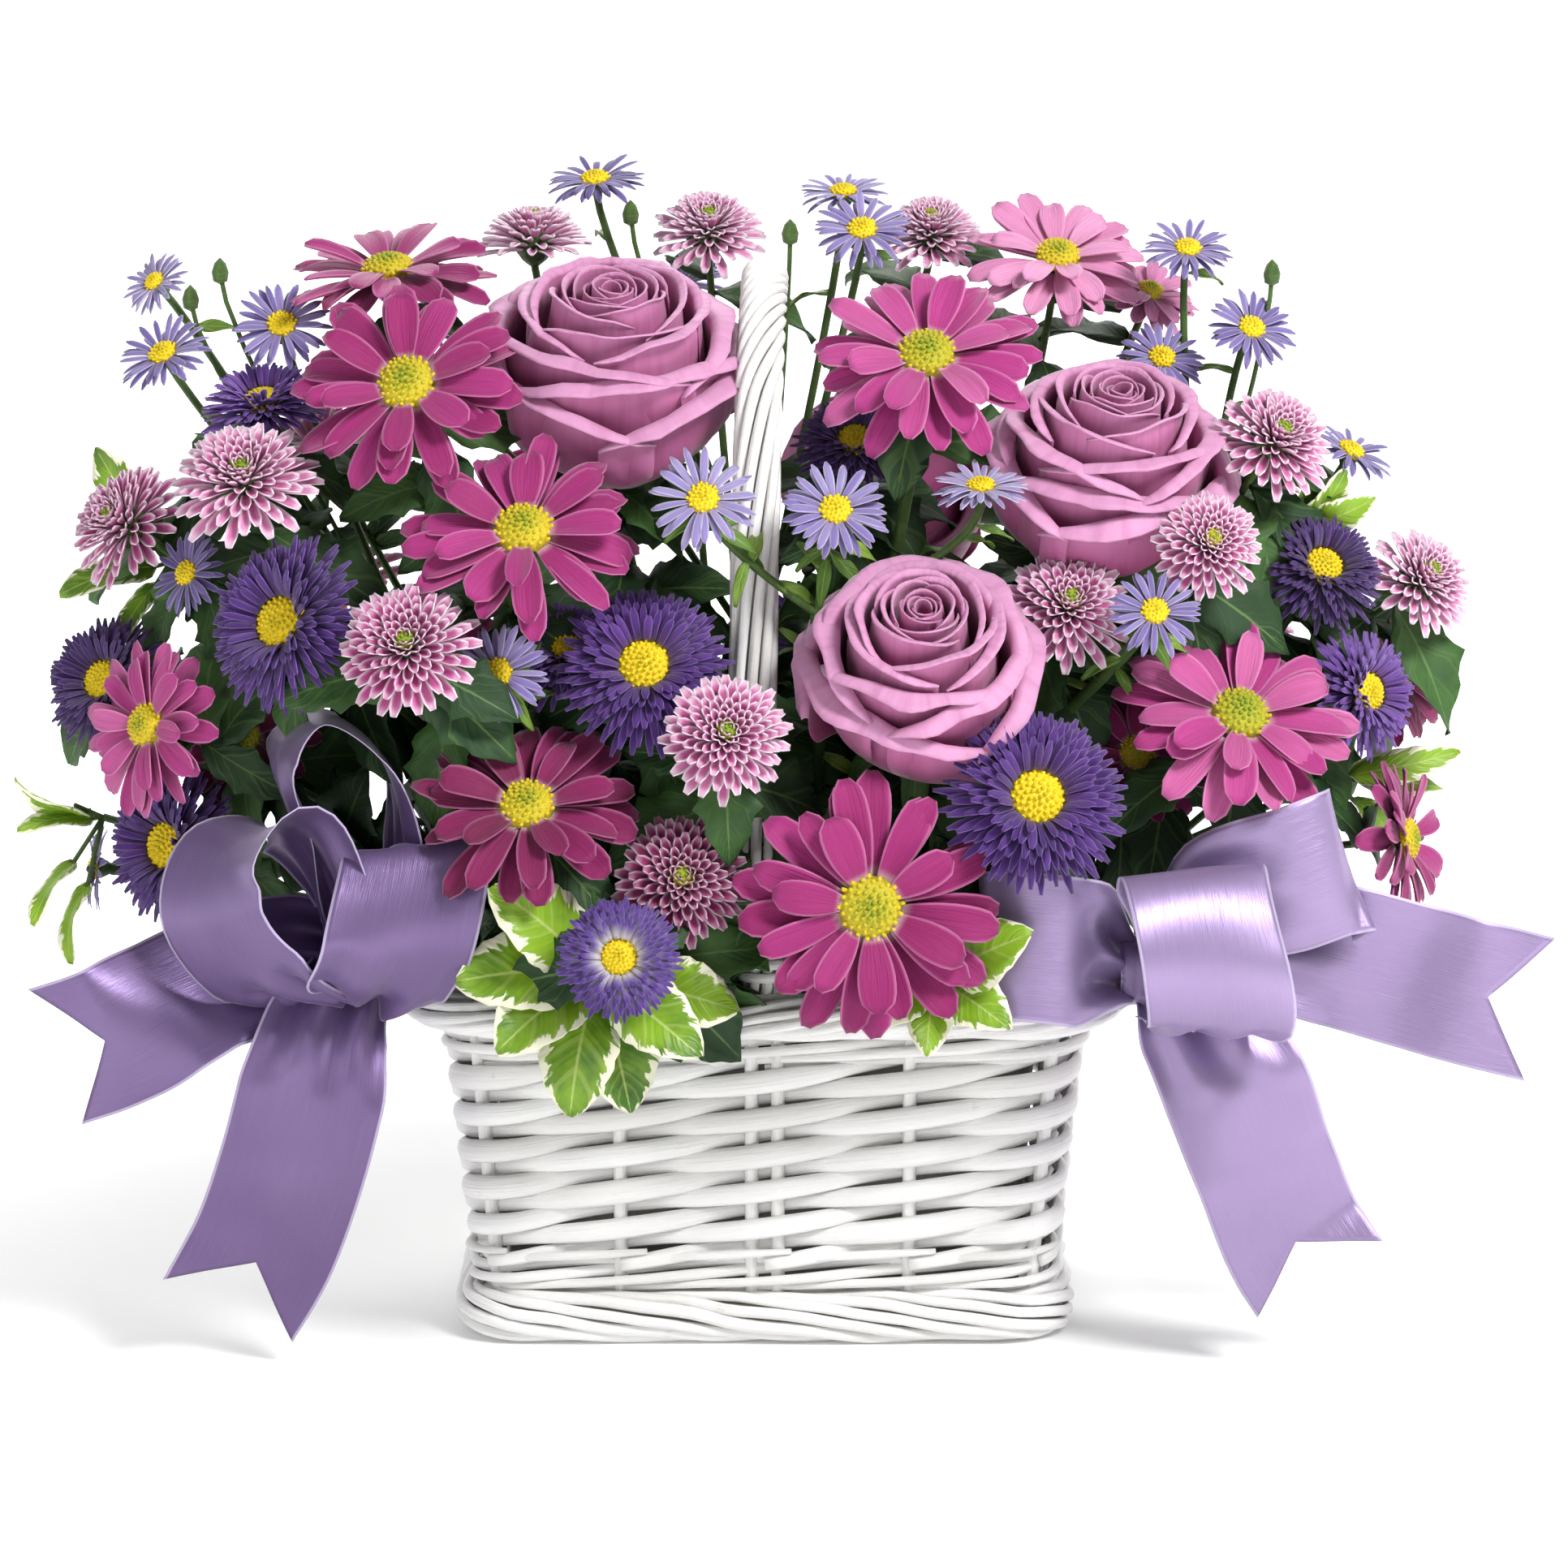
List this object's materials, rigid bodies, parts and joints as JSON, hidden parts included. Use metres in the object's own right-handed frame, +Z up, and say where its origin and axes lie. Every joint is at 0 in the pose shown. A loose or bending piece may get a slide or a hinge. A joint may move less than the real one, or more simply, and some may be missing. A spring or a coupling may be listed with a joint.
{
  "type": "flower basket arrangement",
  "caption": "White willow basket with a hoop handle, filled with roses, chrysanthemums, asters and cream-edged leaves, and tied with a lavender satin bow at each front corner.",
  "frame": {"origin": "middle of the flat underside of the basket, where it stands on a table", "axes": "+Z up, -Y the front of the arrangement, +X to the right seen from the front"},
  "size_m": [0.4217, 0.2301, 0.3208],
  "materials": {
    "willow": "satin",
    "liner": "satin",
    "foam": "matte",
    "ribbon": "satin",
    "wire": "satin",
    "rose": "matte",
    "daisy": "matte",
    "button": "matte",
    "china_aster": "matte",
    "small_aster": "matte",
    "leaf": "satin"
  },
  "bodies": {
    "root": {"basket_base": "willow", "foot_border": "willow", "basket_wall": "willow", "rim_border": "willow", "handle": "willow", "liner": "liner", "floral_foam": "foam", "left_bow_ribbon": "ribbon", "left_bow_wire": "wire", "right_bow_ribbon": "ribbon", "right_bow_wire": "wire", "rose_left": "rose", "rose_right": "rose", "rose_middle": "rose", "rose_back": "rose", "daisy_left_high": "daisy", "daisy_left_top": "daisy", "daisy_low_left": "daisy", "daisy_low_middle": "daisy", "daisy_high_middle": "daisy", "daisy_top_right": "daisy", "daisy_right": "daisy", "daisy_far_left": "daisy", "daisy_far_right": "daisy", "daisy_back_left": "daisy", "daisy_back_right": "daisy", "button_left": "button", "button_front_left": "button", "button_front_middle": "button", "button_front_right": "button", "button_right": "button", "button_top": "button", "button_back_left": "button", "button_back_right": "button", "china_aster_left": "china_aster", "china_aster_middle": "china_aster", "china_aster_front_right": "china_aster", "china_aster_far_left": "china_aster", "china_aster_low_front": "china_aster", "china_aster_right": "china_aster", "china_aster_high_middle": "china_aster", "china_aster_back": "china_aster", "small_aster_left": "small_aster", "small_aster_middle": "small_aster", "small_aster_front_right": "small_aster", "small_aster_front_left": "small_aster", "small_aster_top": "small_aster", "small_aster_right": "small_aster", "small_aster_far_left": "small_aster", "small_aster_back": "small_aster", "leaves_front_left": "leaf", "leaves_front_right": "leaf", "leaves_far_left": "leaf", "leaves_high_left": "leaf", "leaves_high_right": "leaf", "leaves_far_right": "leaf", "leaves_back_left": "leaf", "leaves_back_right": "leaf"}
  },
  "joints": []
}
